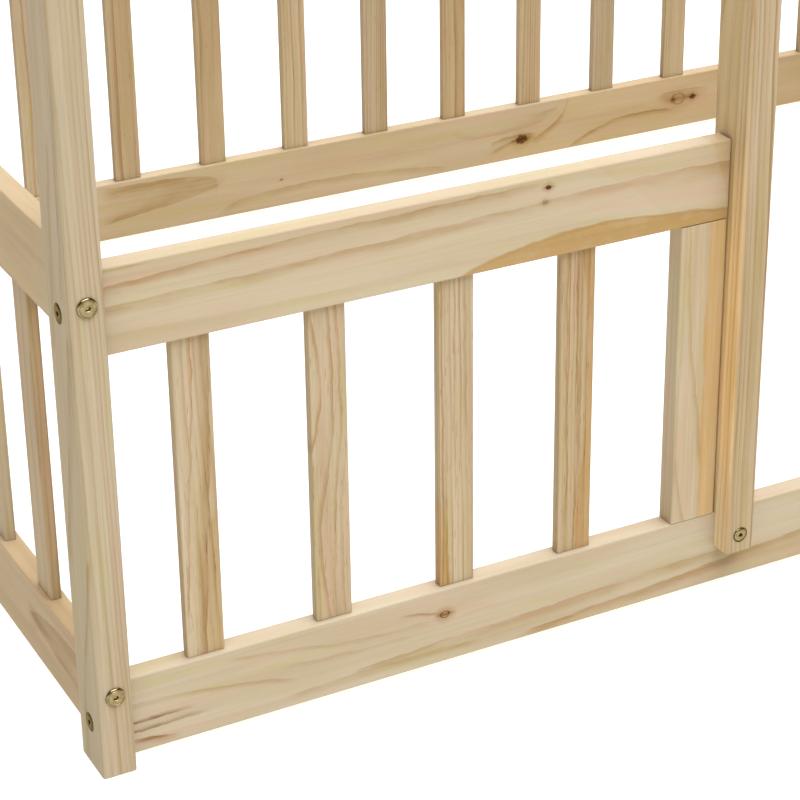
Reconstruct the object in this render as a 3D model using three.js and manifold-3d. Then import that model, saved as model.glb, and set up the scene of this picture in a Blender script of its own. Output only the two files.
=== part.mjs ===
// A slatted pine playpen: four tall corner posts, slatted fence panels round it, an open doorway
// at the right of the front, and a top frame. Millimetres, +Z up, +Y from the front to the back.
// The origin is on the floor, under the middle of the object's bounding box.
import * as THREE from 'three';
import { mergeVertices } from 'three/addons/utils/BufferGeometryUtils.js';
import Module from 'manifold-3d';

const wasm = await Module();
wasm.setup();

// ---- driving dimensions ----
const LENGTH = 1626;            // outside of the corner posts, along X
const DEPTH = 1116;             // outside of the corner posts, along Y
const POST = { width: 30, depth: 50, radius: 3, height: 1100 };
const RAIL = { thickness: 20, height: 74, radius: 2 };
const SLAT = { width: 34, thickness: 10, radius: 2 };
const STILE = { width: 47.5, thickness: RAIL.thickness, radius: 2 };
const TENON = { length: 10, shoulder: 2, side: 3 };    // shoulder: in from a face, side: from an edge
const GAP = 0.3;                // clearance wherever two pieces touch

const LEVELS = ['bottom', 'mid', 'top'];
const RAIL_BASES = [6, 376, 1002];          // undersides of the front and back rails
const SIDE_RAIL_LIFT = 20;                  // the side rails sit higher, so that the bolts can cross

const FRONT_SLATS = { count: 4, first: 58.3, pitch: 120.5 };   // first: from the post to the slat
const BACK_SLATS = { count: 13, first: 64, pitch: 117 };
const SIDE_SLAT_COUNT = 8;                  // evenly spaced between the posts

const DOOR_POST = { left: 618, proud: 6, lap: 35 };            // proud: in front of the corner posts
const PANEL_GAP = 1.5;                      // between the front panel's stile and the door post

const BORE_RADIUS = 3.3;
const BOLT = { headRadius: 8.5, headHeight: 2.6, shankRadius: 3, grip: 40, socket: 2.4 };
const SMALL_BOLT = { headRadius: 6, headHeight: 2.4, shankRadius: 3, grip: 12, socket: 2 };
const COUNTERBORE = { radius: 7.6, depth: 2 };
const LONG_BOLTS = [43, 416, 1039];         // heights of the bolts along X, into front and back rails
const SIDE_BOLTS = [77, 427, 1073];         // heights of the bolts along Y, into side rails

const CORNER_SEGMENTS = 2;                  // facets on each rounded corner of a section
const ROUND_SEGMENTS = 16;                  // facets around a bolt or a bore

// ---- sizes that follow ----
const spanX = LENGTH - 2 * POST.width;      // between the posts, along a front or back rail
const spanY = DEPTH - 2 * POST.depth;       // between the posts, along a side rail
const slatSpace = RAIL_BASES[1] - RAIL_BASES[0] - RAIL.height;
const doorPostX = DOOR_POST.left + POST.width / 2;
const doorPostY = POST.depth / 2 - DOOR_POST.proud;
const frontPanelLength = DOOR_POST.left - POST.width - PANEL_GAP;
const lapBolts = [RAIL_BASES[0] + RAIL.height - DOOR_POST.lap / 2, RAIL_BASES[2] + DOOR_POST.lap / 2];
const centreX = LENGTH / 2;
const centreY = (DEPTH - DOOR_POST.proud) / 2;

// ---- materials ----
const colours = { post: 0xd3ba92, rail: 0xdcc59c, slat: 0xd8be93 };
const pine = (color) => new THREE.MeshStandardMaterial({ color, roughness: 0.62, metalness: 0 });
const brass = () => new THREE.MeshStandardMaterial({ color: 0xb79a55, roughness: 0.3, metalness: 1 });

// ---- solids ----
function toSolid(geometry) {
  const bare = geometry.clone();
  bare.deleteAttribute('normal');
  bare.deleteAttribute('uv');
  const merged = mergeVertices(bare, 1e-4);
  const corners = merged.index.array;
  const triVerts = [];
  for (let i = 0; i < corners.length; i += 3) {
    const [a, b, c] = corners.slice(i, i + 3);
    if (a !== b && b !== c && c !== a) triVerts.push(a, b, c);
  }
  const vertProperties = new Float32Array(merged.attributes.position.array);
  return new wasm.Manifold(new wasm.Mesh({
    numProp: 3, vertProperties, triVerts: new Uint32Array(triVerts),
  }));
}

function toMesh(name, solid, material) {
  const { vertProperties, triVerts } = solid.getMesh();
  const geometry = new THREE.BufferGeometry();
  geometry.setAttribute('position', new THREE.BufferAttribute(vertProperties, 3));
  geometry.setIndex(new THREE.BufferAttribute(triVerts, 1));
  geometry.computeVertexNormals();
  const mesh = new THREE.Mesh(geometry, material);
  mesh.name = name;
  return mesh;
}

// a block of the given size, centred on a point
function block(size, centre) {
  return toSolid(new THREE.BoxGeometry(...size).translate(...centre));
}

// a cylinder between two points
function rod(radius, from, to) {
  const [a, b] = [new THREE.Vector3(...from), new THREE.Vector3(...to)];
  const along = b.clone().sub(a);
  const middle = a.clone().add(b).multiplyScalar(0.5);
  const up = new THREE.Vector3(0, 1, 0);
  const geometry = new THREE.CylinderGeometry(radius, radius, along.length(), ROUND_SEGMENTS);
  geometry.applyQuaternion(new THREE.Quaternion().setFromUnitVectors(up, along.normalize()));
  return toSolid(geometry.translate(middle.x, middle.y, middle.z));
}

// timber with rounded long edges, standing on the XY plane with its section centred on Z
function upright({ width, depth, radius }, length) {
  const [x, y] = [width / 2 - radius, depth / 2 - radius];
  const quarter = Math.PI / 2;
  const section = new THREE.Shape();
  section.absarc(x, -y, radius, -quarter, 0);
  section.absarc(x, y, radius, 0, quarter);
  section.absarc(-x, y, radius, quarter, 2 * quarter);
  section.absarc(-x, -y, radius, 2 * quarter, 3 * quarter);
  section.closePath();
  return new THREE.ExtrudeGeometry(section, {
    depth: length, bevelEnabled: false, curveSegments: CORNER_SEGMENTS,
  });
}

// the same timber lying along X, with its depth along Z
function lying(section, length) {
  const axes = new THREE.Matrix4().makeBasis(
    new THREE.Vector3(0, 1, 0), new THREE.Vector3(0, 0, 1), new THREE.Vector3(1, 0, 0),
  );
  return upright(section, length).applyMatrix4(axes);
}

// ---- slats and rails ----
// a slat or stile with a stub tenon at each end; its origin is on top of the bottom rail
function slat(name, { width, thickness, radius }) {
  const timber = upright({ width, depth: thickness, radius }, slatSpace - 2 * GAP);
  const tenon = [width - 2 * TENON.side, SLAT.thickness - 2 * TENON.shoulder, 2 * (TENON.length - GAP)];
  const solid = toSolid(timber.translate(0, 0, GAP))
    .add(block(tenon, [0, 0, 0]))
    .add(block(tenon, [0, 0, slatSpace]));
  return toMesh(name, solid, pine(colours.slat));
}

// a rail along X; its origin is at one post's face, under the middle of its thickness
// mortises: where slats enter, { x, width, face }; endBores: heights of the bolts in both ends
// faceBores: bolts through its front face, { x, z }
function rail(name, length, { mortises = [], endBore, faceBores = [] }) {
  const section = { width: RAIL.thickness, depth: RAIL.height, radius: RAIL.radius };
  let solid = toSolid(lying(section, length - 2 * GAP).translate(GAP, 0, RAIL.height / 2));
  for (const { x, width, face } of mortises) {
    const across = SLAT.thickness - 2 * TENON.shoulder + 2 * GAP;
    const size = [width - 2 * TENON.side + 2 * GAP, across, 2 * TENON.length];
    solid = solid.subtract(block(size, [x, 0, face]));
  }
  for (const [outside, inside] of [[-1, BOLT.grip + 2], [length + 1, length - BOLT.grip - 2]]) {
    solid = solid.subtract(rod(BORE_RADIUS, [outside, 0, endBore], [inside, 0, endBore]));
  }
  for (const { x, z } of faceBores) {
    const face = -RAIL.thickness / 2;
    solid = solid.subtract(rod(BORE_RADIUS, [x, face - 1, z], [x, face + SMALL_BOLT.grip + 2, z]));
  }
  return toMesh(name, solid, pine(colours.rail));
}

// a straight panel along X between two posts: three rails, and slats between the lower two
// slats: [{ name, x, size }] with x the middle; midLength: the mid rail's length if it stops short
function panel(side, length, slats, options = {}) {
  const { midLength = length, lift = 0, bolts = LONG_BOLTS, faceBores = {} } = options;
  const group = new THREE.Group();
  const mortises = {
    bottom: slats.map(({ x, size }) => ({ x, width: size.width, face: RAIL.height })),
    mid: slats.map(({ x, size }) => ({ x, width: size.width, face: 0 })),
  };
  LEVELS.forEach((level, i) => {
    const base = RAIL_BASES[i] + lift;
    const mesh = rail(`${side}_${level}_rail`, level === 'mid' ? midLength : length, {
      mortises: mortises[level],
      endBore: bolts[i] - base,
      faceBores: faceBores[level],
    });
    mesh.position.z = base;
    group.add(mesh);
  });
  for (const { name, x, size } of slats) {
    const mesh = slat(name, size);
    mesh.position.set(x, 0, RAIL_BASES[0] + lift + RAIL.height);
    group.add(mesh);
  }
  return group;
}

function slatRow(side, { count, first, pitch }) {
  return Array.from({ length: count }, (_, i) => (
    { name: `${side}_slat_${i + 1}`, x: first + i * pitch + SLAT.width / 2, size: SLAT }
  ));
}

function frontPanel() {
  const stileX = frontPanelLength - GAP - STILE.width / 2;
  const slats = [...slatRow('front', FRONT_SLATS), { name: 'front_end_stile', x: stileX, size: STILE }];
  const lapX = doorPostX - POST.width;
  const faceBores = {
    bottom: [{ x: lapX, z: lapBolts[0] - RAIL_BASES[0] }],
    top: [{ x: lapX, z: lapBolts[1] - RAIL_BASES[2] }],
  };
  const group = panel('front', spanX, slats, { midLength: frontPanelLength, faceBores });
  group.position.set(POST.width, POST.depth / 2, 0);
  return group;
}

function backPanel() {
  const group = panel('back', spanX, slatRow('back', BACK_SLATS));
  group.position.set(POST.width, DEPTH - POST.depth / 2, 0);
  return group;
}

function sidePanel(side, x) {
  const first = (spanY - SIDE_SLAT_COUNT * SLAT.width) / (SIDE_SLAT_COUNT + 1);
  const slats = slatRow(side, { count: SIDE_SLAT_COUNT, first, pitch: first + SLAT.width });
  const group = panel(side, spanY, slats, { lift: SIDE_RAIL_LIFT, bolts: SIDE_BOLTS });
  group.rotation.z = Math.PI / 2;
  group.position.set(x, POST.depth, 0);
  return group;
}

// ---- posts ----
function cornerPost(name, x, y) {
  let solid = toSolid(upright(POST, POST.height));
  for (const z of LONG_BOLTS) {
    solid = solid.subtract(rod(BORE_RADIUS, [-POST.width, 0, z], [POST.width, 0, z]));
  }
  for (const z of SIDE_BOLTS) {
    solid = solid.subtract(rod(BORE_RADIUS, [0, -POST.depth, z], [0, POST.depth, z]));
  }
  const mesh = toMesh(name, solid, pine(colours.post));
  mesh.position.set(x, y, 0);
  return mesh;
}

// the door post laps over the bottom and top rails: behind their front faces it is cut away
function doorPost() {
  const bottom = RAIL_BASES[0] + RAIL.height - DOOR_POST.lap;
  const top = RAIL_BASES[2] + DOOR_POST.lap;
  const front = -POST.depth / 2;
  const lapBack = (POST.depth - RAIL.thickness) / 2 - doorPostY - GAP;
  let solid = toSolid(upright(POST, top - bottom).translate(0, 0, bottom));
  for (const end of [bottom, top]) {
    const cut = [2 * POST.width, POST.depth, 2 * (DOOR_POST.lap + GAP)];
    solid = solid.subtract(block(cut, [0, lapBack + POST.depth / 2, end]));
  }
  for (const z of lapBolts) {
    solid = solid.subtract(rod(BORE_RADIUS, [0, front - 1, z], [0, 0, z]));
    solid = solid.subtract(rod(COUNTERBORE.radius, [0, front - 1, z], [0, front + COUNTERBORE.depth, z]));
  }
  const midBolt = LONG_BOLTS[1];
  const railLine = POST.depth / 2 - doorPostY;
  solid = solid.subtract(rod(BORE_RADIUS, [-POST.width, railLine, midBolt], [POST.width, railLine, midBolt]));
  const mesh = toMesh('door_post', solid, pine(colours.post));
  mesh.position.set(doorPostX, doorPostY, 0);
  return mesh;
}

// ---- bolts ----
// a domed bolt with a hex socket; its head stands on the XY plane and its shank points down
function bolt(name, { headRadius, headHeight, shankRadius, socket }, length) {
  const rim = 0.35 * headHeight;
  const profile = [
    [0, -length], [shankRadius - 0.6, -length], [shankRadius, 0.6 - length], [shankRadius, 0],
    [headRadius - 0.3, 0], [headRadius, 0.3], [headRadius, rim],
  ];
  for (const turn of [0.35, 0.7, 1]) {
    const lean = turn * Math.PI / 2;
    profile.push([headRadius * Math.cos(lean), rim + (headHeight - rim) * Math.sin(lean)]);
  }
  profile[profile.length - 1][0] = 0;
  const points = profile.map(([radius, height]) => new THREE.Vector2(radius, height));
  const body = toSolid(new THREE.LatheGeometry(points, ROUND_SEGMENTS).rotateX(Math.PI / 2));
  const hex = new THREE.CylinderGeometry(socket, socket, headHeight, 6).rotateX(Math.PI / 2);
  return toMesh(name, body.subtract(toSolid(hex.translate(0, 0, headHeight))), brass());
}

const TOWARDS = {
  front: (mesh) => mesh.rotateX(Math.PI / 2),
  left: (mesh) => mesh.rotateY(-Math.PI / 2),
  right: (mesh) => mesh.rotateY(Math.PI / 2),
};

function placedBolt(name, spec, length, facing, [x, y, z]) {
  const mesh = bolt(name, spec, length);
  mesh.position.set(x, y, z);
  TOWARDS[facing](mesh);
  return mesh;
}

// the front wall's bolts: their heads stand on the posts, their ends are in the rails
function frontBolts() {
  const alongX = POST.width + BOLT.grip;
  const alongY = POST.depth + BOLT.grip;
  const middleY = POST.depth / 2;
  const [leftX, rightX] = [POST.width / 2, LENGTH - POST.width / 2];
  const doorFront = COUNTERBORE.depth - DOOR_POST.proud - GAP;
  const lapLength = (POST.depth - RAIL.thickness) / 2 - doorFront + SMALL_BOLT.grip;
  const levels = [['lower', 0], ['upper', 1]];
  const group = new THREE.Group();
  const place = (name, ...how) => group.add(placedBolt(`bolt_${name}`, ...how));
  for (const [level, i] of levels) {
    place(`left_post_front_${level}`, BOLT, alongY, 'front', [leftX, -GAP, SIDE_BOLTS[i]]);
    place(`left_post_side_${level}`, BOLT, alongX, 'left', [-GAP, middleY, LONG_BOLTS[i]]);
    place(`right_post_front_${level}`, BOLT, alongY, 'front', [rightX, -GAP, SIDE_BOLTS[i]]);
    place(`door_post_front_${level}`, SMALL_BOLT, lapLength, 'front', [doorPostX, doorFront, lapBolts[i]]);
  }
  place('right_post_side_lower', BOLT, alongX, 'right', [LENGTH + GAP, middleY, LONG_BOLTS[0]]);
  return group;
}

// ---- the whole object ----
function corners() {
  const [left, right] = [POST.width / 2, LENGTH - POST.width / 2];
  const [front, back] = [POST.depth / 2, DEPTH - POST.depth / 2];
  return [
    cornerPost('corner_post_front_left', left, front),
    cornerPost('corner_post_front_right', right, front),
    cornerPost('corner_post_back_left', left, back),
    cornerPost('corner_post_back_right', right, back),
  ];
}

const playpen = new THREE.Group();
playpen.add(
  ...corners(),
  doorPost(),
  frontPanel(),
  backPanel(),
  sidePanel('left', POST.width / 2),
  sidePanel('right', LENGTH - POST.width / 2),
  frontBolts(),
);
playpen.position.set(-centreX, -centreY, 0);
playpen.updateMatrixWorld(true);

const object = new THREE.Group();
object.add(playpen);

export default object;
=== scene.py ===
# A slatted pine playpen: rounded timber with procedural grain, brassy bolts and their nuts, built
# round the CAD frame. Metres, +Z up, +Y from the front to the back. Grain and bolts' own profiles
# are in mm.
import math
import random

import bmesh
import bpy
from mathutils import Matrix, Vector


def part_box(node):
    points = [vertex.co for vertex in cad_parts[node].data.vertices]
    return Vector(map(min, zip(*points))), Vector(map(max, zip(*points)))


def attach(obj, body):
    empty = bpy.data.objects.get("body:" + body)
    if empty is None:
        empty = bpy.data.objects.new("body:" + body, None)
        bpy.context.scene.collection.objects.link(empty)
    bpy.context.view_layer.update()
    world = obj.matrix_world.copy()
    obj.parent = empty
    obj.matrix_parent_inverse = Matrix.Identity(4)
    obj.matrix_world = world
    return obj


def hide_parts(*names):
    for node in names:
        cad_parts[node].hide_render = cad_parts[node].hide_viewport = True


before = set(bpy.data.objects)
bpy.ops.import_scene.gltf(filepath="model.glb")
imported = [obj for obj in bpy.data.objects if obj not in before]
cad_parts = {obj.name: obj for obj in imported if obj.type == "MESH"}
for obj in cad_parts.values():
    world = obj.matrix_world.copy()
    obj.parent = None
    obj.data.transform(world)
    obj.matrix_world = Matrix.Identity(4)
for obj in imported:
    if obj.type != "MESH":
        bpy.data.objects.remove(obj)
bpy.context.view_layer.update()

MM = 0.001
GAP = 0.3 * MM                  # clearance wherever two pieces touch, as in the CAD
CORNER_STEPS = 5                # facets on each rounded corner of a section
ROUND_STEPS = 48                # facets round a bolt

POST_RADIUS = 3.0 * MM
RAIL_RADIUS = 1.5 * MM
SLAT_RADIUS = 1.6 * MM
END_CHAMFER = 0.35 * MM
SLAT_CHAMFER = 0.1 * MM

LONG_BOLTS = (43, 416, 1039)    # heights of the bolts along X, into the front and back rails, mm
SIDE_BOLTS = (77, 427, 1073)    # heights of the bolts along Y, into the side rails, mm
BOLT_LEVELS = ("lower", "upper", "top")
BORE = 3.3 * MM                 # radius of the hole for a bolt
# the dent that a head is drawn into: its radius, and its depth on front and back or side faces
SEAT = {"radius": 8.65 * MM, "front": 0.4 * MM, "side": 2.0 * MM}
GRIP = 40 * MM                  # how far a bolt reaches into a rail
SHANK = 3.0                     # radius of a bolt, mm
SHANK_TIP = 2.4                 # and of its end
NUT = {"radius": 5 * MM, "length": 16 * MM, "bore": 3.1 * MM, "inset": 33 * MM, "sunk": 0.6 * MM}
NUT_HOLE = {"radius": NUT["radius"] + 0.15 * MM, "length": NUT["length"] + 2.6 * MM}
LAP_BOLT = {"radius": 6.7 * MM, "bore": 7.9 * MM, "sunk": 2 * MM, "grip": 12 * MM}
LAP_HOLE = 30 * MM              # deeper than the door post is where it laps a rail

AXES = {"x": Vector((1, 0, 0)), "y": Vector((0, 1, 0)), "z": Vector((0, 0, 1))}


# ---------------------------------------------------------------- node graphs
class Graph:
    """A node tree written as expressions: every call returns an output socket."""

    def __init__(self, tree):
        self.tree = tree
        tree.nodes.clear()

    @classmethod
    def of_material(cls, name):
        material = bpy.data.materials.new(name)
        material.use_nodes = True
        graph = cls(material.node_tree)
        graph.material = material
        return graph

    def add(self, kind, inputs=None, out=0, **settings):
        node = self.tree.nodes.new(kind)
        for key, value in settings.items():
            setattr(node, key, value)
        for key, value in (inputs or {}).items():
            if isinstance(value, bpy.types.NodeSocket):
                self.tree.links.new(value, node.inputs[key])
            else:
                node.inputs[key].default_value = value
        return node.outputs[out]

    def math(self, operation, *values, clamp=False):
        return self.add("ShaderNodeMath", dict(enumerate(values)), operation=operation, use_clamp=clamp)

    def vector(self, operation, *values, out=0):
        return self.add("ShaderNodeVectorMath", dict(enumerate(values)), out, operation=operation)

    def parts(self, value):
        node = self.add("ShaderNodeSeparateXYZ", {0: value}).node
        return node.outputs[0], node.outputs[1], node.outputs[2]

    def length(self, value):
        return self.vector("LENGTH", value, out="Value")

    def noise(self, where, scale, detail=2.0, rough=0.5, out="Fac"):
        """scale: cycles per mm along the board, across its face and through it, or one number."""
        if not isinstance(scale, float):
            where, scale = self.vector("MULTIPLY", where, scale), 1.0
        inputs = {"Vector": where, "Scale": scale, "Detail": detail, "Roughness": rough}
        return self.add("ShaderNodeTexNoise", inputs, out)

    def hum(self, value, scale, detail=1.0):
        """Noise along one number."""
        inputs = {"W": self.math("MULTIPLY", value, scale), "Scale": 1.0, "Detail": detail}
        return self.add("ShaderNodeTexNoise", inputs, noise_dimensions="1D")

    def remap(self, value, low, high, start=0.0, end=1.0, smooth=True):
        inputs = {"Value": value, "From Min": low, "From Max": high, "To Min": start, "To Max": end}
        kind = "SMOOTHSTEP" if smooth else "LINEAR"
        return self.add("ShaderNodeMapRange", inputs, interpolation_type=kind)

    def mix(self, factor, a, b, blend="MIX"):
        inputs = {0: factor, 6: a, 7: b}
        return self.add("ShaderNodeMix", inputs, 2, data_type="RGBA", blend_type=blend)

    def tint(self, factor, colour, by):
        return self.mix(factor, colour, self.mix(1.0, colour, (*by, 1.0), "MULTIPLY"))

    def ramp(self, value, stops):
        node = self.tree.nodes.new("ShaderNodeValToRGB")
        node.color_ramp.interpolation = "EASE"
        marks = node.color_ramp.elements
        while len(marks) < len(stops):
            marks.new(0.5)
        for mark, (place, grey) in zip(marks, stops):
            mark.position = place
            mark.color = (grey, grey, grey, 1)
        self.tree.links.new(value, node.inputs[0])
        return node.outputs[0]

    def line(self, value, points):
        """A smooth line through points, with both numbers from 0 to 1."""
        node = self.tree.nodes.new("ShaderNodeFloatCurve")
        curve = node.mapping.curves[0]
        while len(curve.points) < len(points):
            curve.points.new(0.5, 0.5)
        for point, place in zip(curve.points, points):
            point.location = place
        node.mapping.update()
        self.tree.links.new(value, node.inputs["Value"])
        return node.outputs[0]

    def finish(self, shader):
        output = self.tree.nodes.new("ShaderNodeOutputMaterial")
        self.tree.links.new(shader, output.inputs["Surface"])
        return self.material


# ---------------------------------------------------------------- pine
EARLY = (0.490, 0.402, 0.256)   # pale wood of each spring, linear
LATE = (0.350, 0.240, 0.116)    # the thin dark line of each summer, linear
WARM = (0.88, 0.70, 0.42)       # resin-rich heartwood is the same wood seen through this tint
VEIN = (0.74, 0.62, 0.44)       # a single strong summer line, cut flat
KNOT = (0.46, 0.28, 0.20)
KNOT_RIM = (0.38, 0.22, 0.11)
FLECK = (0.45, 0.30, 0.16)      # a resin canal cut lengthwise
DARK_YEARS = (0.80, 0.70, 0.54) # tints for years and patches that differ from the rest
CLOUD = (0.84, 0.76, 0.62)
PINK_CAST = (1.045, 0.955, 0.975)
GREEN_CAST = (0.97, 0.99, 0.83)
DARK_YEAR_LIMIT = 0.30          # how far a dark year goes, at a contrast of 1
SUMMER = ((0.0, 0.25), (0.10, 0.0), (0.45, 0.12), (0.78, 0.75), (0.90, 1.0), (1.0, 0.25))
VEIN_FADE = 12.0                # mm from a vein's end over which it fades in or out
NOISE = {                       # cycles per mm along a board, across its face and through it
    "bend": (0.0035, 0.02, 0.02),
    "cloud": (0.004, 0.03, 0.03),
    "patch": (0.006, 0.06, 0.06),
    "cast": (0.007, 0.09, 0.09),
    "spots": (0.022, 0.10, 0.10),
    "ragged": (0.03, 0.07, 0.07),
    "knot": (0.16, 0.16, 0.16),
    "fibre": (0.008, 0.75, 0.75),
    "canal": (0.055, 1.3, 1.3),
    "fine": (0.05, 2.4, 2.4),
}
LINE_WANDER = 6.5               # mm that veins and heartwood's edge wander, to both sides together
PORE_DEPTH = 0.0004             # m of relief in planed wood
END_GRAIN = (0.74, 0.66, 0.56)
FLANK = -14.0                   # v below which a post's side face begins, mm
FACE_SPAN = 100.0               # mm across a face that a line's 0 to 1 stands for, centred

# A board's own coordinates, in mm: u along it from its low end, v across its face and w through
# it, both from its middle. Lines are lists of (u, v).
DEFAULT_LOOK = {
    "pith": (40.0, 60.0),       # where the tree's pith is, as (v, w)
    "lean": (0.0, 0.0),         # how the pith drifts from the board, mm per mm of length
    "spacing": 3.6,             # between growth rings
    "contrast": 0.75,           # how dark the summer lines are
    "tone": 1.0,                # brightness of the whole board
    "warmth": 0.0,              # 0 pale sapwood, 1 heartwood
    "waves": 2.5,               # how far the rings wander, mm
    "flecks": 0.22,             # how dark the resin canals are
    "fibres": 1.0,              # how strong the fine lines along the grain are
    "veins": (),                # each (line, width: it fades below, or above if negative, strength)
    "flank_veins": (),          # the same on the face towards -v, with lines of (u, w)
    "flank_painted_light": (),          # painted light and shade on that face: its tint at the foot, low and high
    "zones": (),                # heartwood: each (line, -1 below it or 1 above it, strength, lift)
    "knots": (),                # each (u, v, size, darkness)
    "rings": (),                # knots seen as an outline: each (u, v, size, darkness)
    "seed": 0.0,
}


class Pine(Graph):
    """Pine cut from a log: growth rings round a pith, with fibres, veins, heartwood and knots."""

    def set_up(self, length, look):
        self.span = length
        self.look = look
        self.board = self.add("ShaderNodeAttribute", out="Vector", attribute_name="board")
        seed = look["seed"]
        self.seeded = self.vector("ADD", self.board, (seed * 37.0, seed * 11.0, seed * 23.0))
        self.u, self.v, self.w = self.parts(self.board)
        self.fibre = self.noise(self.seeded, NOISE["fibre"], detail=4.0, rough=0.65)
        self.canal = self.remap(self.noise(self.seeded, NOISE["canal"], detail=1.0), 0.66, 0.76)
        self.ragged = self.noise(self.seeded, NOISE["ragged"], detail=4.0, rough=0.6)
        self.wander = self.math("MULTIPLY", self.math("SUBTRACT", self.ragged, 0.5), LINE_WANDER)

    def wobble(self, scale):
        """Noise in three directions, on both sides of zero."""
        return self.vector("SUBTRACT", self.noise(self.seeded, scale, out="Color"), (0.5, 0.5, 0.5))

    def stretched(self, away, scale):
        return self.length(self.vector("MULTIPLY", away, scale))

    def pith_distance(self):
        """The board's place in the log, bent a little by slow noise."""
        look = self.look
        waves = 4 * look["waves"]
        bend = self.vector("MULTIPLY", self.wobble(NOISE["bend"]), (0, waves, waves))
        turned = self.add("ShaderNodeMapping", {
            "Vector": self.board, "Rotation": (0.0, -look["lean"][1], look["lean"][0]),
            "Location": (0, -look["pith"][0], -look["pith"][1]),
        }, vector_type="POINT")
        return self.stretched(self.vector("ADD", turned, bend), (0, 1, 1))

    def place_knots(self, radius):
        """Knots push the rings aside. Each comes back as its kind, two distances and its darkness."""
        wobble = self.wobble(NOISE["knot"])
        knots = []
        for kind, roughness in (("knots", 1.6), ("rings", 0.7)):
            for at_u, at_v, size, darkness in self.look[kind]:
                away = self.vector("SUBTRACT", self.board, (at_u, at_v, 0))
                away = self.vector("ADD", away, self.vector("MULTIPLY", wobble, (roughness * size,) * 3))
                near = self.stretched(away, (0.75 / size, 1 / size, 0))
                wings = self.stretched(away, (0.26 / size, 1.3 / size, 0))
                far = self.stretched(away, (0.2 / size, 0.5 / size, 0))
                push = self.remap(far, 0.0, 1.6, 1.3 * self.look["spacing"], 0.0)
                radius = self.math("ADD", radius, push)
                knots.append((kind, near, wings, darkness))
        return radius, knots

    def summer_lines(self, radius):
        """0 to 1: slow darkening through each year, a dark line, then a sharp edge."""
        spacing = self.look["spacing"]
        drift = self.math("MULTIPLY", self.hum(radius, 0.11 / spacing), 5.0)
        rings = self.math("ADD", self.math("DIVIDE", radius, spacing), drift)
        late = self.ramp(self.math("FRACT", rings), SUMMER)
        year = self.add("ShaderNodeTexWhiteNoise", {"W": self.math("FLOOR", rings)}, noise_dimensions="1D")
        patch = self.remap(self.noise(self.seeded, NOISE["patch"], detail=1.0), 0.3, 0.7, 0.5, 1.15)
        strength = self.math("MULTIPLY", self.remap(year, 0.0, 1.0, 0.25, 1.0, smooth=False), patch)
        late = self.math("MULTIPLY", late, strength)
        return self.math("MULTIPLY", late, self.look["contrast"], clamp=True)

    def clear_wood(self, radius, late):
        """Colour from the rings, with slow changes from year to year and along the board."""
        look = self.look
        darkest = DARK_YEAR_LIMIT * look["contrast"]
        decade = self.remap(self.hum(radius, 0.35 / look["spacing"]), 0.35, 0.65, 0.0, darkest)
        cloud = self.noise(self.seeded, NOISE["cloud"])
        cast = self.noise(self.vector("ADD", self.seeded, (900, 0, 0)), NOISE["cast"], detail=2.0)
        early_colour, late_colour = [(*(look["tone"] * c for c in wood), 1) for wood in (EARLY, LATE)]
        colour = self.mix(late, early_colour, late_colour)
        colour = self.tint(decade, colour, DARK_YEARS)
        colour = self.tint(self.remap(cloud, 0.35, 0.7, 0.0, 0.45), colour, CLOUD)
        colour = self.tint(self.remap(cast, 0.25, 0.5, 1.0, 0.0), colour, PINK_CAST)
        return self.tint(self.remap(cast, 0.5, 0.75), colour, GREEN_CAST)

    def above(self, line, across):
        """How far above a line a point is, in mm; the line wanders a little."""
        points = [(a / self.span, b / FACE_SPAN + 0.5) for a, b in line]
        height = self.line(self.math("DIVIDE", self.u, self.span), points)
        height = self.math("MULTIPLY", self.math("SUBTRACT", height, 0.5), FACE_SPAN)
        return self.math("SUBTRACT", self.math("ADD", across, self.wander), height)

    def vein(self, line, width, across, grain):
        """A band that is dark along a line and fades to one side, and at its ends."""
        off = self.above(line, across)
        if width < 0:
            off = self.math("MULTIPLY", off, -1.0)
        band = self.math("MULTIPLY", self.remap(off, -abs(width), 0.0), self.remap(off, 0.0, 1.0, 1.0, 0.0))
        first, last = line[0][0], line[-1][0]
        if first > 0:
            band = self.math("MULTIPLY", band, self.remap(self.u, first - VEIN_FADE, first + VEIN_FADE))
        if last < self.span:
            fade = self.remap(self.u, last - VEIN_FADE, last + VEIN_FADE, 1.0, 0.0)
            band = self.math("MULTIPLY", band, fade)
        return self.math("MULTIPLY", band, grain, clamp=True)

    def add_veins(self, colour, on_flank):
        spots = self.noise(self.vector("ADD", self.seeded, (0, 500, 0)), NOISE["spots"], detail=3.0)
        broken = self.remap(spots, 0.35, 0.6, 0.55, 1.1)
        grain = self.math("MULTIPLY", self.remap(self.fibre, 0.3, 0.7, 0.55, 1.15), broken)
        for line, width, strength in self.look["veins"]:
            band = self.vein(line, width, self.v, grain)
            colour = self.tint(band, colour, stronger(VEIN, strength))
        for line, width, strength in self.look["flank_veins"]:
            band = self.math("MULTIPLY", self.vein(line, width, self.w, grain), on_flank)
            colour = self.tint(band, colour, stronger(VEIN, strength))
        return colour

    def paint_flank_light(self, colour, on_flank):
        """Painted light and shade on the side face, as a tint that changes on its way up."""
        foot, low, high = [(*tint, 1) for tint in self.look["flank_painted_light"]]
        height = self.math("ADD", self.u, self.math("MULTIPLY", self.wander, 20.0))
        tint = self.mix(self.remap(height, 20, 140), foot, low)
        tint = self.mix(self.remap(height, 250, 480), tint, high)
        return self.mix(on_flank, colour, self.mix(1.0, colour, tint, "MULTIPLY"))

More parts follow.
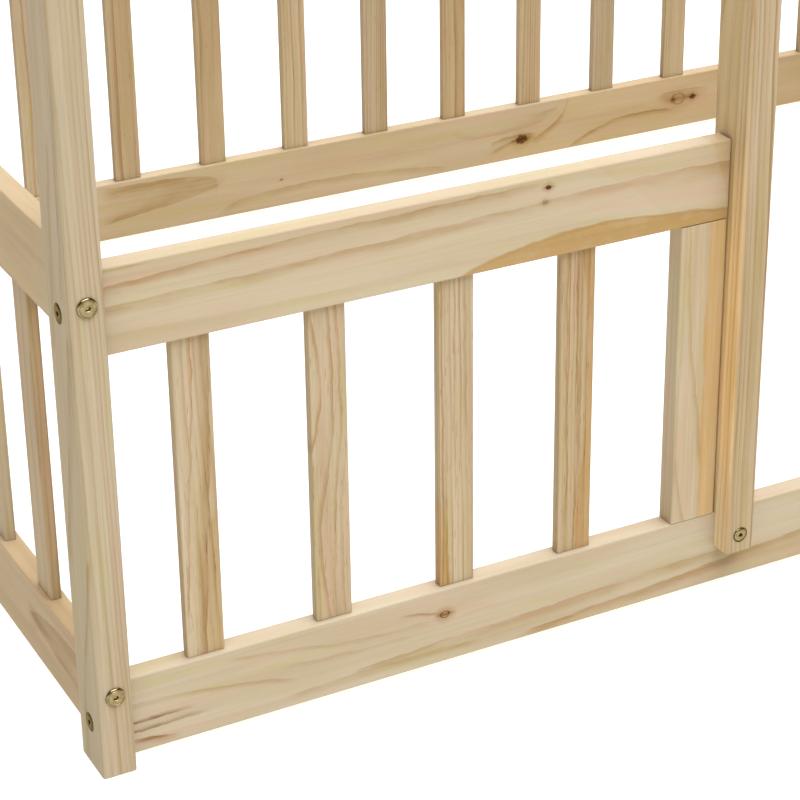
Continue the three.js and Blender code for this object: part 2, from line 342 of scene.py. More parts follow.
    def add_heartwood(self, colour):
        if self.look["warmth"]:
            colour = self.tint(self.look["warmth"], colour, WARM)
        for line, side, strength, lift in self.look["zones"]:
            off = self.math("MULTIPLY", self.above(line, self.v), float(side))
            inside = self.remap(off, -1.0, 1.8, 0.0, strength)
            inside = self.math("MULTIPLY", inside, self.remap(self.ragged, 0.3, 0.6, 0.68, 1.0))
            colour = self.tint(inside, colour, tuple(lift * c for c in WARM))
        return colour

    def add_fibres(self, colour):
        """Fine lines along the grain and short resin canals."""
        depth = self.look["fibres"]
        fine = self.noise(self.seeded, NOISE["fine"], detail=2.0, rough=0.6)
        streak = self.remap(self.fibre, 0.25, 0.75, 1 - 0.13 * depth, 1 + 0.10 * depth, smooth=False)
        speck = self.remap(fine, 0.2, 0.8, 1 - 0.05 * depth, 1 + 0.05 * depth, smooth=False)
        shade = self.math("MULTIPLY", streak, speck)
        grey = self.add("ShaderNodeCombineXYZ", {0: shade, 1: shade, 2: shade})
        colour = self.vector("MULTIPLY", colour, grey)
        return self.tint(self.math("MULTIPLY", self.canal, self.look["flecks"]), colour, FLECK)

    def add_knots(self, colour, knots):
        for kind, near, wings, darkness in knots:
            colour = self.tint(self.remap(near, 0.8, 3.2, 0.75 * darkness, 0.0), colour, VEIN)
            colour = self.tint(self.remap(wings, 0.2, 1.0, darkness, 0.0), colour, stronger(VEIN, 1.8))
            rim = self.remap(near, 0.95, 1.2, darkness, 0.0)
            if kind == "rings":
                rim = self.math("MULTIPLY", rim, self.remap(near, 0.70, 0.92))
            colour = self.tint(rim, colour, KNOT_RIM)
            if kind == "knots":
                colour = self.tint(self.remap(near, 0.5, 0.85, 0.4 * darkness, 0.0), colour, KNOT)
        return colour

    def darken_ends(self, colour):
        """End grain drinks in more and looks darker."""
        normal = self.add("ShaderNodeNewGeometry", out="Normal")
        along = self.add("ShaderNodeAttribute", out="Vector", attribute_name="along")
        facing = self.math("ABSOLUTE", self.vector("DOT_PRODUCT", normal, along, out="Value"))
        return self.tint(self.remap(facing, 0.6, 0.9, 0.0, 0.7), colour, END_GRAIN)

    def planed(self, colour, late):
        """The surface: planed smooth, with the fibres and canals just felt."""
        height = self.math("ADD", self.math("MULTIPLY", late, 0.5), self.math("MULTIPLY", self.fibre, 0.6))
        height = self.math("SUBTRACT", height, self.math("MULTIPLY", self.canal, 0.5))
        bump = self.add("ShaderNodeBump", {"Height": height, "Strength": 0.16, "Distance": PORE_DEPTH})
        gloss = self.math("ADD", self.fibre, self.math("MULTIPLY", late, -0.25))
        return self.add("ShaderNodeBsdfPrincipled", {
            "Base Color": colour, "Roughness": self.remap(gloss, 0.2, 0.8, 0.40, 0.56), "Normal": bump,
            "Specular IOR Level": 0.10,
        })


def stronger(tint, strength):
    return tuple(c ** strength for c in tint)


def pine(name, length, **look):
    """The material of one board, length mm long."""
    g = Pine.of_material(name)
    g.set_up(length, {**DEFAULT_LOOK, **look})
    radius, knots = g.place_knots(g.pith_distance())
    late = g.summer_lines(radius)
    colour = g.clear_wood(radius, late)
    on_flank = g.remap(g.v, FLANK - 1, FLANK + 2, 1.0, 0.0)
    colour = g.add_veins(colour, on_flank)
    # painted light and shade on a post's side face, where its look asks for it
    if g.look["flank_painted_light"]:
        colour = g.paint_flank_light(colour, on_flank)
    colour = g.add_heartwood(colour)
    colour = g.add_fibres(colour)
    colour = g.add_knots(colour, knots)
    colour = g.darken_ends(colour)
    return g.finish(g.planed(colour, late))


# ---------------------------------------------------------------- metal
def plated(name, colour, rough):
    """Plated steel, a little uneven in colour, gloss and surface."""
    g = Graph.of_material(name)
    place = g.add("ShaderNodeTexCoord", out="Object")
    cloudy = g.noise(place, 260.0, detail=3.0)
    shade = g.tint(g.remap(cloudy, 0.35, 0.7), (*colour, 1), (0.70, 0.66, 0.55))
    bump = g.add("ShaderNodeBump", {
        "Height": g.noise(place, 1500.0), "Strength": 0.08, "Distance": 0.0001,
    })
    shader = g.add("ShaderNodeBsdfPrincipled", {
        "Base Color": shade, "Metallic": 1.0, "Normal": bump, "Specular Tint": (0.75, 0.62, 0.40, 1),
        "Roughness": g.remap(cloudy, 0.3, 0.7, rough, rough + 0.10),
    })
    return g.finish(shader)


# ---------------------------------------------------------------- solids
def section(width, depth, radius):
    """Points round a rounded rectangle, centred on the origin."""
    points = []
    for quarter, (side, face) in enumerate(((1, -1), (1, 1), (-1, 1), (-1, -1))):
        for step in range(CORNER_STEPS + 1):
            angle = math.radians(90 * (quarter - 1 + step / CORNER_STEPS))
            points.append((
                side * (width / 2 - radius) + radius * math.cos(angle),
                face * (depth / 2 - radius) + radius * math.sin(angle),
            ))
    return points


def skin(rings):
    """A closed bmesh through rings of points, with a flat cap at each end."""
    bm = bmesh.new()
    loops = [[bm.verts.new(point) for point in ring] for ring in rings]
    count = len(loops[0])
    for one, two in zip(loops, loops[1:]):
        for i in range(count):
            j = (i + 1) % count
            bm.faces.new((one[i], one[j], two[j], two[i]))
    bm.faces.new(loops[0])
    bm.faces.new(loops[-1])
    bmesh.ops.recalc_face_normals(bm, faces=bm.faces)
    return bm


def to_object(name, bm):
    mesh = bpy.data.meshes.new(name)
    bm.to_mesh(mesh)
    bm.free()
    obj = bpy.data.objects.new(name, mesh)
    bpy.context.scene.collection.objects.link(obj)
    return obj


def carve(obj, cutters):
    """Cuts other objects out of one, for good, and removes them."""
    for cutter in cutters:
        modifier = obj.modifiers.new("cut", "BOOLEAN")
        modifier.operation = "DIFFERENCE"
        modifier.solver = "EXACT"
        modifier.object = cutter
    shown = obj.evaluated_get(bpy.context.evaluated_depsgraph_get())
    mesh = bpy.data.meshes.new_from_object(shown)
    obj.modifiers.clear()
    obj.data = mesh
    for cutter in cutters:
        bpy.data.objects.remove(cutter)


def soften(obj, degrees=32):
    """Smooth shading that keeps flat faces flat and sharp corners sharp."""
    for polygon in obj.data.polygons:
        polygon.use_smooth = True
    obj.data.set_sharp_from_angle(angle=math.radians(degrees))
    modifier = obj.modifiers.new("normals", "WEIGHTED_NORMAL")
    modifier.keep_sharp = True
    modifier.weight = 100


def circle(radius, height):
    turns = [2 * math.pi * i / ROUND_STEPS for i in range(ROUND_STEPS)]
    return [Vector((radius * math.cos(t), radius * math.sin(t), height)) for t in turns]


def hexagon(radius, height):
    """A hexagon with as many points as a circle; radius is to its corners."""
    points = []
    for point in circle(1.0, 0.0):
        turn = math.atan2(point.y, point.x) % (math.pi / 3) - math.pi / 6
        reach = radius * math.cos(math.pi / 6) / math.cos(turn)
        points.append(Vector((reach * point.x, reach * point.y, height)))
    return points


def standing(rings, place, way):
    """Rings round the Z axis, moved to a place and turned to stand along a way."""
    turn = way.to_track_quat("Z", "Y").to_matrix().to_4x4()
    whole = Matrix.Translation(place) @ turn
    return [[whole @ point for point in ring] for ring in rings]


def rod(start, way, length, radius):
    """A plain cylinder to cut with."""
    return to_object("cutter", skin(standing([circle(radius, 0), circle(radius, length)], start, way)))


def block(low, high):
    """A plain block to cut with."""
    corners = [(low.x, low.y), (high.x, low.y), (high.x, high.y), (low.x, high.y)]
    return to_object("cutter", skin([[Vector((x, y, z)) for x, y in corners] for z in (low.z, high.z)]))


def timber(name, node, axes, radius, look, low=None, high=None, cutters=(), chamfer=END_CHAMFER):
    """A board in place of a CAD node. axes: the world axes along it, across its face and through it."""
    box_low, box_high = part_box(node)
    low, high = low or box_low, high or box_high
    along, across, through = [AXES[letter] for letter in axes]
    size = high - low
    centre = (low + high) / 2
    length, width, depth = [abs(size.dot(axis)) for axis in (along, across, through)]
    rings = []
    for place, inset in (
        (-length / 2, chamfer), (chamfer - length / 2, 0), (length / 2 - chamfer, 0), (length / 2, chamfer),
    ):
        outline = section(width - 2 * inset, depth - 2 * inset, radius - inset)
        rings.append([centre + place * along + v * across + w * through for v, w in outline])
    obj = to_object(name, skin(rings))
    if cutters:
        carve(obj, cutters)
    mesh = obj.data
    board = mesh.attributes.new("board", "FLOAT_VECTOR", "POINT")
    way = mesh.attributes.new("along", "FLOAT_VECTOR", "POINT")
    start = low.dot(along)
    for i, vertex in enumerate(mesh.vertices):
        off = vertex.co - centre
        board.data[i].vector = (
            (vertex.co.dot(along) - start) / MM, off.dot(across) / MM, off.dot(through) / MM,
        )
        way.data[i].vector = along
    soften(obj)
    mesh.materials.clear()
    mesh.materials.append(pine(f"{name}_pine", length / MM, **look))
    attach(obj, "root")
    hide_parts(node)


# ---------------------------------------------------------------- looks of single boards
rng = random.Random(7)          # boards are always made in the same order
USUAL = {                       # tone and warmth, each from and to
    "post": ((0.88, 0.94), (0.05, 0.30)),
    "rail": ((0.92, 1.00), (0.10, 0.30)),
    "slat": ((0.94, 1.00), (0.15, 0.40)),
}


def chance_look(kind):
    """A board of no special note: its own cut from its own log."""
    angle = rng.uniform(0, 2 * math.pi)
    reach = rng.uniform(40, 100)
    tones, warmths = USUAL[kind]
    return {
        "pith": (reach * math.cos(angle), reach * math.sin(angle)),
        "lean": (rng.uniform(-0.014, 0.014), rng.uniform(-0.014, 0.014)),
        "spacing": rng.uniform(2.8, 4.8),
        "contrast": rng.uniform(0.75, 1.15),
        "tone": rng.uniform(*tones),
        "warmth": rng.uniform(*warmths),
        "seed": rng.uniform(1, 90),
    }


LOOKS = {
    "corner_post_front_left": {
        "pith": (-46, 52), "spacing": 2.9, "contrast": 0.85, "waves": 1.6, "seed": 3, "tone": 0.94,
        "warmth": 0.08, "flecks": 0.12,
        # painted shade on the left face: a little darker and yellower than the front
        "flank_painted_light": ((0.97, 0.96, 0.89),) * 3,
        "flank_veins": (
            (((0, 14.0), (80, 6.0), (150, -12.0), (210, -24.0)), 9, 0.8),
            (((190, 20.0), (260, 8.0), (330, -6.0), (400, -16.0)), 16, 0.8),
            (((380, 18.0), (470, 8.0), (560, -4.0)), 8, 0.6),
            (((430, -8.0), (520, -16.0), (620, -20.0)), 8, 0.6),
        ),
    },
    "door_post": {
        "pith": (46, 20), "spacing": 3.3, "contrast": 1.5, "waves": 2.2, "seed": 8, "tone": 0.98,
        "warmth": 0.25, "lean": (0.008, 0.0),
        # painted light on the face towards the stile: lifted most near the foot, for light bounced onto it
        # from the stile
        "flank_painted_light": ((1.62, 1.66, 1.70), (1.88, 1.77, 1.58), (1.30, 1.30, 1.24)),
    },
    "front_mid_rail": {
        "pith": (-160, 120), "spacing": 11.0, "contrast": 0.22, "waves": 3.0, "seed": 5, "tone": 1.02,
        "warmth": 0.09, "fibres": 0.45, "flecks": 0.06,
        "knots": ((402, 27.6, 2.0, 0.95), (399, 15.0, 2.2, 0.30)),
        "veins": (
            (((0, 20.5), (100, 25.5), (200, 29.5), (300, 31.5), (390, 33.5)), 9, 1.0),
            (((0, 3.2), (100, 5.9), (200, 8.2), (300, 12.0), (380, 14.7), (470, 17.8), (586, 16.6)),
             12, 0.8),
            (((0, 34.5), (35, 35.5)), 3, 0.6),
            (((320, -34.0), (345, -27.0), (385, -20.0), (450, -15.0), (500, -17.6), (550, -22.6),
              (586, -27.2)), 4, 0.6),
        ),
        "zones": (
            (((0, 60.0), (540, 60.0), (572, 20.0), (586, -60.0)), 1, 0.35, 1.05),
            (((0, 60.0), (380, 60.0), (470, 20.0), (560, -60.0), (586, -60.0)), 1, 0.14, 1.03),
            (((0, -50.0), (300, -45.0), (320, -35.0), (345, -27.0), (385, -20.0), (450, -15.0),
              (500, -17.6), (550, -22.6), (586, -27.2)), -1, 1.1, 0.98),
        ),
    },
    "front_bottom_rail": {
        "pith": (-150, 110), "spacing": 10.0, "contrast": 0.22, "waves": 3.5, "seed": 12, "tone": 0.99,
        "warmth": 0.04, "fibres": 0.45, "flecks": 0.08,
        "rings": ((301, 11.5, 3.4, 1.0),),
        "veins": (
            (((0, 11.0), (60, 7.0), (110, 0.5), (150, -8.0)), 6, 0.6),
            (((100, 27.0), (160, 20.0), (230, 9.5), (290, 8.5)), 6, 0.5),
            (((262, 21.0), (298, 13.5)), 3.5, 1.5),
            (((150, 5.0), (210, 0.5), (262, 0.5)), 5, 0.4),
            (((0, -8.4), (52, -8.0)), -4.0, 3.4),
            (((0, -16.8), (66, -16.0)), -4.5, 3.2),
            (((6, -24.0), (38, -27.5)), 9, 2.2),
            (((150, -26.0), (250, -22.0), (330, -24.0)), 8, 0.5),
            (((215, -20.0), (300, -15.0), (400, -12.0), (500, -7.0), (600, -4.0)), 14, 0.7),
            (((390, -30.0), (470, -25.0), (560, -18.8), (620, -13.0), (720, -8.0), (800, -12.0)), 13, 0.9),
        ),
        "zones": (
            (((0, -60.0), (340, -42.0), (390, -30.0), (470, -25.0), (560, -18.8), (620, -13.0),
              (720, -8.0), (800, -12.0), (957, -20.0), (1626, -60.0)), -1, 0.30, 0.97),
        ),
    },
    "back_bottom_rail": {
        "pith": (-140, 130), "spacing": 12.0, "contrast": 0.22, "waves": 5.0, "seed": 21, "warmth": 0.44,
        # tone set a little darker than the front rails', painted shade for the back of the pen
        "tone": 0.93, "fibres": 0.45, "flecks": 0.08,
        "knots": (
            (1002, -10.6, 5.6, 0.95), (1281, 4.2, 3.6, 0.9), (1249, 4.0, 2.2, 0.5), (640, -1.0, 1.4, 0.5),
        ),
        "rings": ((1257, 4.6, 8.0, 0.5),),
        "veins": (
            (((1080, -34.0), (1100, -24.0), (1130, -13.6), (1170, -6.0), (1205, -5.0), (1245, -9.0)),
             9, 1.3),
            (((958, -20.0), (975, -14.0), (996, -9.0)), 7, 2.2),
            (((950, -14.0), (1000, -3.0), (1022, -6.0)), 14, 0.8),
            (((1225, 13.0), (1256, 17.0), (1300, 14.0)), 24, 0.7),
            (((1022, -12.0), (1046, 0.0), (1064, 14.0), (1074, 34.0)), 14, 1.0),
            (((1022, 22.0), (1046, 24.0), (1060, 36.0)), 10, 0.5),
            (((400, 32.0), (470, 30.0), (530, 24.0), (556, 10.0)), 30, 1.0),
            (((400, -16.0), (450, -9.0), (500, -3.0), (556, 9.0)), -24, 0.9),
            (((560, -24.0), (600, -16.0), (700, -12.0), (800, -18.0), (880, -28.0)), 12, 0.6),
            (((900, 10.0), (960, 2.0), (1000, 4.0), (1040, 16.0)), -12, 0.4),
        ),
        "zones": (
            (((0, -60.0), (880, -45.0), (960, -20.0), (1040, 8.0), (1090, 40.0), (1626, 60.0)),
             -1, 0.22, 1.35),
        ),
    },
    "left_bottom_rail": {
        "pith": (-120, 130), "spacing": 12.0, "contrast": 0.3, "seed": 33, "tone": 0.99, "warmth": 0.60,
        "veins": (
            (((0, 24.0), (60, 20.0), (128, 5.0)), 28, 1.0),
            (((0, -14.0), (60, -9.0), (128, 3.0)), -22, 0.9),
        ),
    },
    "left_mid_rail": {
        "pith": (-130, 120), "spacing": 11.0, "contrast": 0.3, "seed": 37, "tone": 0.99, "warmth": 0.62,
    },
    "front_slat_1": {
        "pith": (-30, 44), "spacing": 5.2, "contrast": 0.8, "seed": 31, "warmth": 0.2, "tone": 1.03,
        "flecks": 0.7, "lean": (0.03, 0.0),
        "zones": ((((0, -5.0), (60, -2.0), (110, 6.0), (150, 18.0), (296, 40.0)), 1, 0.4, 1.0),),
        "veins": (
            (((0, 1.0), (50, 3.0), (100, 6.0), (150, 9.5), (200, 12.0), (296, 14.8)), 11, 1.1),
            (((40, -13.5), (100, -11.0), (150, -7.7), (200, -3.8), (250, -1.0), (296, 0.0)), 3, 1.0),
        ),
    },
    "front_slat_2": {
        "pith": (-8, 60), "spacing": 5.0, "contrast": 0.6, "seed": 44, "warmth": 0.2, "tone": 1.03,
        "flecks": 0.7,
        "veins": (
            (((163, -17.5), (185, -12.0), (210, -7.7), (235, -8.4), (265, -12.0), (296, -16.5)), 4, 1.0),
            (((0, -3.3), (40, -7.7), (72, -11.0), (100, -10.0), (125, -5.5), (150, -1.0), (180, 3.3),
              (210, 4.4), (240, 3.4), (296, 0.0)), 5, 0.95),
            (((0, 2.0), (90, 3.3), (130, 5.5), (160, 8.8), (190, 12.0), (225, 11.0), (296, 8.0)), 4, 0.85),
            (((0, 11.0), (100, 10.0), (150, 14.0)), 3, 0.6),
            (((0, -12.0), (50, -14.0)), 3, 0.6),
        ),
    },
    "front_slat_3": {
        "pith": (-48, 26), "spacing": 3.6, "contrast": 1.0, "seed": 52, "warmth": 0.2, "tone": 1.03,
        "flecks": 0.7,
        "veins": (
            (((0, -8.0), (40, -9.5), (90, -11.0)), 6, 0.7),
            (((60, -13.0), (150, -13.5), (296, -14.0)), 2.5, 0.8),
            (((90, -1.0), (200, -1.5), (296, -1.5)), 2.5, 0.8),
            (((150, 10.0), (220, 9.0), (296, 9.0)), 4, 0.7),
        ),
        "zones": ((((0, -6.0), (50, -10.0), (90, -17.0), (296, -22.0)), -1, 0.8, 1.05),),
    },
    "front_slat_4": {
        "pith": (-40, 30), "spacing": 4.2, "contrast": 1.0, "seed": 63, "warmth": 0.42, "tone": 1.0,
        "flecks": 0.7,
        "veins": (
            (((0, -9.0), (55, -8.5), (85, -8.0), (120, -9.5), (296, -10.0)), 4, 0.9),
            (((0, 0.0), (60, 1.0), (100, 2.4), (200, 1.0), (296, -1.0)), 3, 1.0),
            (((80, 5.0), (200, 4.0), (296, 3.0)), 3, 0.7),
        ),
        "zones": ((((0, 1.0), (70, 3.0), (100, 8.0), (200, 10.0), (296, 2.0)), 1, 0.8, 1.0),),
    },
    "front_end_stile": {
        "pith": (-70, 80), "spacing": 8.0, "contrast": 0.35, "seed": 71, "waves": 3.0, "tone": 1.06,
        "warmth": 0.08, "flecks": 0.15,
        "veins": (
            (((60, 6.0), (120, 0.0), (170, -7.0), (210, -11.0), (296, -14.0)), 6, 0.5),
            (((0, -9.5), (30, -15.0), (65, -20.0)), 5, 0.45),
        ),
        "zones": (
            (((0, 5.0), (60, 4.2), (110, 4.0), (150, 6.0), (180, 4.0), (230, 6.0), (296, 5.5)),
             1, 0.8, 1.22),
        ),
    },
}
BACK_SLATS = 13                 # their tone and warmth rise and fall from one to the next
# their tone is set darker on the whole than the front slats', painted shade for the back of the pen; each
# slat's own tone and warmth vary as well
for number in range(1, BACK_SLATS + 1):
    LOOKS[f"back_slat_{number}"] = {
        "tone": 0.91 + 0.06 * math.sin(2.4 * number), "warmth": 0.48 + 0.14 * math.sin(1.7 * number),
        "flecks": 0.5,
    }


def look_of(node, kind):
    """The board's own look over a chance one, which is drawn either way to keep later draws the same."""
    chosen = chance_look(kind)
    return {**chosen, **LOOKS.get(node, {})}


# ---------------------------------------------------------------- bolts and nuts
METALS = {
    "front": plated("bolt_bright", (0.335, 0.262, 0.130), 0.12),
    # the side bolts are the same brass as the front ones: this darker, rougher copy is painted shade for
    # the little light their faces reflect
    "side": plated("bolt_painted_shade", (0.115, 0.092, 0.065), 0.20),
    "nut": plated("nut_zinc", (0.36, 0.35, 0.32), 0.30),
}


def finish_metal(obj, material, replaced=None):
    soften(obj, 28)
    obj.data.materials.clear()
    obj.data.materials.append(material)
    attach(obj, "root")
    if replaced:
        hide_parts(replaced)


def shank(length):
    """The start of a bolt's profile, as (radius, height) in mm, up to its head at height 0."""
    return (SHANK_TIP, -length / MM), (SHANK, SHANK - SHANK_TIP - length / MM), (SHANK, 0.0)


def flange_bolt(name, place, way, length, finish):
    """A wide low head with a rounded rim, a turned groove, a dished face and a hex socket."""
    profile = (
        *shank(length), (8.2, 0.0), (8.5, 0.3), (8.5, 0.9),
        (8.35, 1.45), (7.9, 1.95), (7.3, 2.2), (7.05, 2.12), (6.85, 1.85), (6.6, 1.85), (6.4, 2.15),
        (5.9, 2.32), (4.2, 2.4), (3.3, 2.3),
    )
    rings = [circle(radius * MM, height * MM) for radius, height in profile]
    rings += [hexagon(2.6 * MM, 2.2 * MM), hexagon(2.35 * MM, 1.9 * MM), hexagon(2.3 * MM, 0.4 * MM)]
    node = f"bolt_{name}"
    obj = to_object(f"{node}_steel", skin(standing(rings, place, way)))
    finish_metal(obj, METALS[finish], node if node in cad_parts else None)


def seated_bolt(name, face, out, thickness, finish):
    """Makes a bolt right through a post, its head sunk a little, and returns the holes to cut for it."""
    # finish picks the dent's depth and the metal; for side bolts that metal is the darker copy of the
    # brass, painted shade
    sunk = SEAT[finish]
    flange_bolt(name, face + out * (GAP - sunk), out, thickness + GRIP, finish)
    return [
        rod(face + out * MM, -out, thickness + 2 * MM, BORE),
        rod(face + out * MM, -out, MM + sunk, SEAT["radius"]),
    ]


def lap_bolt(name, place, way, length):
    """A domed head in a counterbore, with a hex socket."""
    radius = LAP_BOLT["radius"] / MM
    rim, dome = 0.7, 2.1
    profile = [*shank(length), (radius - 0.3, 0.0), (radius, 0.3), (radius, rim)]
    for lean in (0.25, 0.45, 0.65):
        turn = lean * math.pi / 2
        profile.append((radius * math.cos(turn), rim + dome * math.sin(turn)))
    rings = [circle(r * MM, h * MM) for r, h in profile]
    rings += [hexagon(2.5 * MM, 2.5 * MM), hexagon(2.2 * MM, 2.2 * MM), hexagon(2.15 * MM, 0.3 * MM)]
    node = f"bolt_{name}"
    obj = to_object(f"{node}_steel", skin(standing(rings, place, way)))
    finish_metal(obj, METALS["front"], node)


def barrel_nut(name, place, way, bolt_way):
    """A slotted steel dowel across a rail, just under its inner face, with the bolt through it."""
    radius, length = NUT["radius"], NUT["length"]
    edge, slot, slot_depth = 0.4 * MM, 0.9 * MM, 1.4 * MM
    rings = [
        circle(radius - edge, -length), circle(radius, edge - length),
        circle(radius, -edge), circle(radius - edge, 0),
    ]
    obj = to_object(name, skin(standing(rings, place, way)))
    side = way.cross(bolt_way).normalized()
    corners = [place + a * bolt_way * 2 * radius + b * side * slot + c * way * slot_depth
               for a in (-1, 1) for b in (-1, 1) for c in (-1, 1)]
    low = Vector([min(c[i] for c in corners) for i in range(3)])
    high = Vector([max(c[i] for c in corners) for i in range(3)])
    middle = place - way * (RAIL_DEPTH / 2 - NUT["sunk"])
    carve(obj, [block(low, high), rod(middle - bolt_way * 2 * radius, bolt_way, 4 * radius, NUT["bore"])])
    finish_metal(obj, METALS["nut"])


# ---------------------------------------------------------------- the frame
SIDES = {                       # each wall: the way its rails run, and the way its inner face looks
    "front": ("x", Vector((0, 1, 0))),
    "back": ("x", Vector((0, -1, 0))),
    "left": ("y", Vector((1, 0, 0))),
    "right": ("y", Vector((-1, 0, 0))),
}
rail_low, rail_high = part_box("front_bottom_rail")
RAIL_DEPTH = rail_high.y - rail_low.y
door_low, door_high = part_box("door_post")


def corner_posts():
    for end in ("front", "back"):
        for side in ("left", "right"):
            node = f"corner_post_{end}_{side}"
            low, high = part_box(node)
            middle = (low + high) / 2
            size = high - low
            out_y = Vector((0, -1 if end == "front" else 1, 0))
            out_x = Vector((-1 if side == "left" else 1, 0, 0))
            cutters = []
            for level, z_long, z_side in zip(BOLT_LEVELS, LONG_BOLTS, SIDE_BOLTS):
                name = f"{side}_post" if end == "front" else f"{side}_back_post"
                face_y = Vector((middle.x, middle.y, z_side * MM)) + out_y * size.y / 2
                face_x = Vector((middle.x, middle.y, z_long * MM)) + out_x * size.x / 2
                cutters += seated_bolt(f"{name}_{end}_{level}", face_y, out_y, size.y, "front")
                if (end, side, level) == ("front", "right", "upper"):
                    continue            # the doorway: no middle rail meets this post
                cutters += seated_bolt(f"{name}_side_{level}", face_x, out_x, size.x, "side")
            timber(f"post_{end}_{side}", node, "zxy", POST_RADIUS, look_of(node, "post"), cutters=cutters)


def rail(side, level, bolt_height):
    """A rail with a bore up each end and a barrel nut across it near the end."""
    node = f"{side}_{level}_rail"
    way, inner = SIDES[side]
    along = AXES[way]
    low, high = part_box(node)
    middle = (low + high) / 2
    reach = (high - low).dot(along) / 2
    cutters = []
    for end in (-1, 1):
        outward = along * end
        tip = Vector((middle.x, middle.y, bolt_height * MM)) + outward * reach
        cutters.append(rod(tip + outward * MM, -outward, GRIP + 3 * MM, BORE))
        nut_face = tip - outward * NUT["inset"] + inner * (RAIL_DEPTH / 2 - NUT["sunk"])
        cutters.append(rod(nut_face + inner * 2 * MM, -inner, NUT_HOLE["length"], NUT_HOLE["radius"]))
        barrel_nut(f"nut_{node}_{'low' if end < 0 else 'high'}", nut_face, inner, along)
    if side == "front" and level != "mid":
        lap = Vector(((door_low.x + door_high.x) / 2, low.y - MM, LAP_HEIGHTS[level]))
        cutters.append(rod(lap, Vector((0, 1, 0)), LAP_BOLT["grip"] + 2 * MM, BORE))
    through = "y" if way == "x" else "x"
    timber(f"{node}_board", node, f"{way}z{through}", RAIL_RADIUS, look_of(node, "rail"), cutters=cutters)


def door_post():
    """The post beside the doorway: lapped over the bottom and top rails, and bolted to both."""
    _, bottom_rail_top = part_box("front_bottom_rail")
    top_rail_low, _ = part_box("front_top_rail")
    lap_face = rail_low.y - GAP
    cutters = [
        block(Vector((door_low.x - MM, lap_face, door_low.z - MM)),
              Vector((door_high.x + MM, door_high.y + MM, bottom_rail_top.z + GAP))),
        block(Vector((door_low.x - MM, lap_face, top_rail_low.z - GAP)),
              Vector((door_high.x + MM, door_high.y + MM, door_high.z + MM))),
    ]
    middle = (door_low.x + door_high.x) / 2
    inward = Vector((0, 1, 0))
    for level, node_level in (("bottom", "lower"), ("top", "upper")):
        face = Vector((middle, door_low.y, LAP_HEIGHTS[level]))
        seat = face + inward * LAP_BOLT["sunk"]
        cutters.append(rod(face - inward * MM, inward, MM + LAP_BOLT["sunk"], LAP_BOLT["bore"]))
        cutters.append(rod(seat - inward * MM, inward, LAP_HOLE, BORE))
        depth = lap_face - seat.y + LAP_BOLT["grip"]
        lap_bolt(f"door_post_front_{node_level}", seat - inward * GAP, -inward, depth)
    side = Vector((door_high.x, (rail_low.y + rail_high.y) / 2, LONG_BOLTS[1] * MM))
    out = Vector((1, 0, 0))
    width = door_high.x - door_low.x
    cutters += seated_bolt("door_post_side", side, out, width, "side")
    timber("post_door", "door_post", "zxy", POST_RADIUS, look_of("door_post", "post"), cutters=cutters)


def walls():
    for side, (way, _) in SIDES.items():
        heights = LONG_BOLTS if way == "x" else SIDE_BOLTS
        for level, height in zip(("bottom", "mid", "top"), heights):
            rail(side, level, height)
        _, bottom_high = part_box(f"{side}_bottom_rail")
        mid_low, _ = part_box(f"{side}_mid_rail")
        through = "y" if way == "x" else "x"
        own = [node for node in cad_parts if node.startswith(f"{side}_")]
        for node in sorted(n for n in own if "_slat_" in n or "_stile" in n):
            low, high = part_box(node)
            low.z = bottom_high.z + GAP
            high.z = mid_low.z - GAP
            look = look_of(node, "slat")
            timber(
                f"{node}_board", node, f"z{way}{through}", SLAT_RADIUS, look, low, high,
                chamfer=SLAT_CHAMFER,
            )


lower_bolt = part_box("bolt_door_post_front_lower")
upper_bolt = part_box("bolt_door_post_front_upper")
LAP_HEIGHTS = {
    "bottom": (lower_bolt[0].z + lower_bolt[1].z) / 2,
    "top": (upper_bolt[0].z + upper_bolt[1].z) / 2,
}
corner_posts()
walls()
door_post()


# ---------------------------------------------------------------- floor, light and camera
FLOOR_HALF = 14.0               # m from the middle of the floor to its edge
FLOOR_DROP = 0.0005             # m between the floor and the feet
FLOOR_GREY = (0.30, 0.30, 0.30, 1)
FLOOR_GLOW = (1, 0.985, 0.92, 1)
SKY_COLOUR = (1, 0.98, 0.92, 1)
WALL_WAY = Vector((0.45, 0.80, 0.40))
SUN_WAY = Vector((0.04, -0.30, 0.95))
SUN_COLOUR = (0.95, 1.0, 1.24)


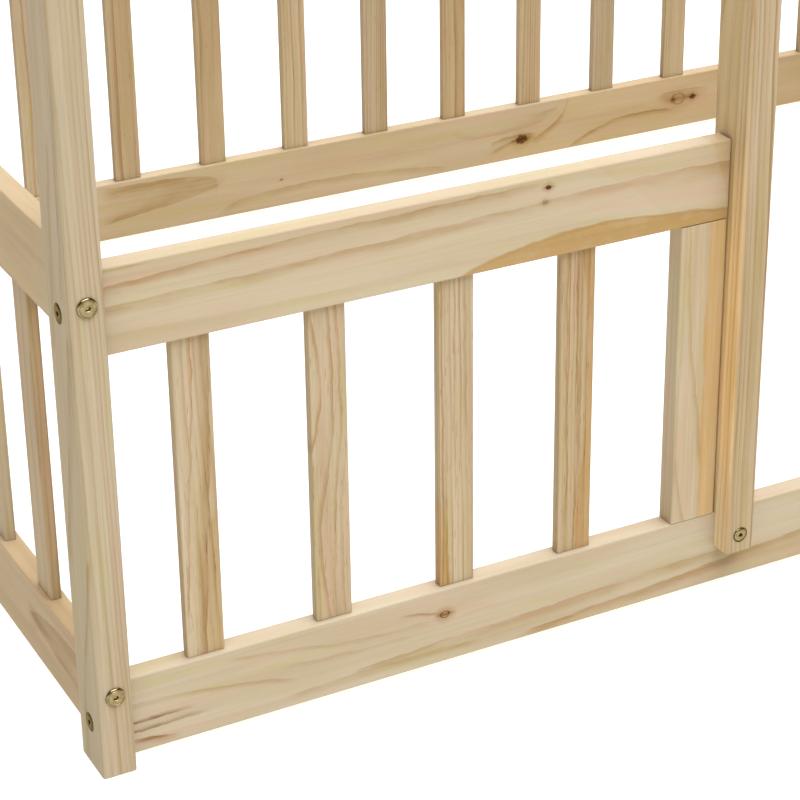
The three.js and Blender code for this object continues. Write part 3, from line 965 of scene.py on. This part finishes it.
def studio():
    bm = bmesh.new()
    bmesh.ops.create_grid(bm, x_segments=1, y_segments=1, size=FLOOR_HALF)
    floor = to_object("floor", bm)
    floor.location.z = -FLOOR_DROP
    g = Graph.of_material("floor_light_table")
    shader = g.add("ShaderNodeBsdfPrincipled", {
        "Base Color": FLOOR_GREY, "Roughness": 0.9, "Specular IOR Level": 0.1,
        "Emission Color": FLOOR_GLOW, "Emission Strength": 0.90,
    })
    floor.data.materials.append(g.finish(shader))

    # a pale horizon under a dim ceiling, with a broad bright wall behind the object
    world = bpy.data.worlds.new("studio")
    bpy.context.scene.world = world
    world.use_nodes = True
    sky = Graph(world.node_tree)
    way = sky.add("ShaderNodeTexCoord", out="Generated")
    behind = sky.vector("DOT_PRODUCT", way, WALL_WAY.normalized(), out="Value")
    _, _, height = sky.parts(way)
    ceiling = sky.remap(height, 0.12, 0.28, 0.74, 0.10)
    wall = sky.remap(behind, 0.72, 0.97, 0.0, 2.6)
    glow = sky.math("ADD", ceiling, wall)
    light = sky.add("ShaderNodeBackground", {"Color": SKY_COLOUR, "Strength": glow})
    output = sky.tree.nodes.new("ShaderNodeOutputWorld")
    sky.tree.links.new(light, output.inputs["Surface"])

    data = bpy.data.lights.new("softbox", "SUN")
    data.energy = 5.35
    data.color = SUN_COLOUR
    data.angle = math.radians(60)
    lamp = bpy.data.objects.new("softbox", data)
    lamp.rotation_euler = SUN_WAY.to_track_quat("Z", "Y").to_euler()
    bpy.context.scene.collection.objects.link(lamp)


# The photograph's camera, from a fit to its timber edges: m, and degrees to the right, down and
# round its own axis.
CAMERA_PLACE = (-1.3576, -2.1557, 1.1786)
CAMERA_TURN, CAMERA_NOD, CAMERA_ROLL = 28.11, 24.74, 0.44


def camera():
    data = bpy.data.cameras.new("camera")
    data.sensor_width = 36
    data.lens = 108.7
    data.shift_x = -0.0375
    data.shift_y = -0.0875
    data.clip_end = 60
    obj = bpy.data.objects.new("camera", data)
    turn = Matrix.Rotation(math.radians(-CAMERA_TURN), 4, "Z")
    nod = Matrix.Rotation(math.radians(90 - CAMERA_NOD), 4, "X")
    roll = Matrix.Rotation(math.radians(-CAMERA_ROLL), 4, "Z")
    obj.matrix_world = Matrix.Translation(CAMERA_PLACE) @ turn @ nod @ roll
    bpy.context.scene.collection.objects.link(obj)
    bpy.context.scene.camera = obj


studio()
camera()
bpy.context.scene.view_settings.view_transform = "Standard"
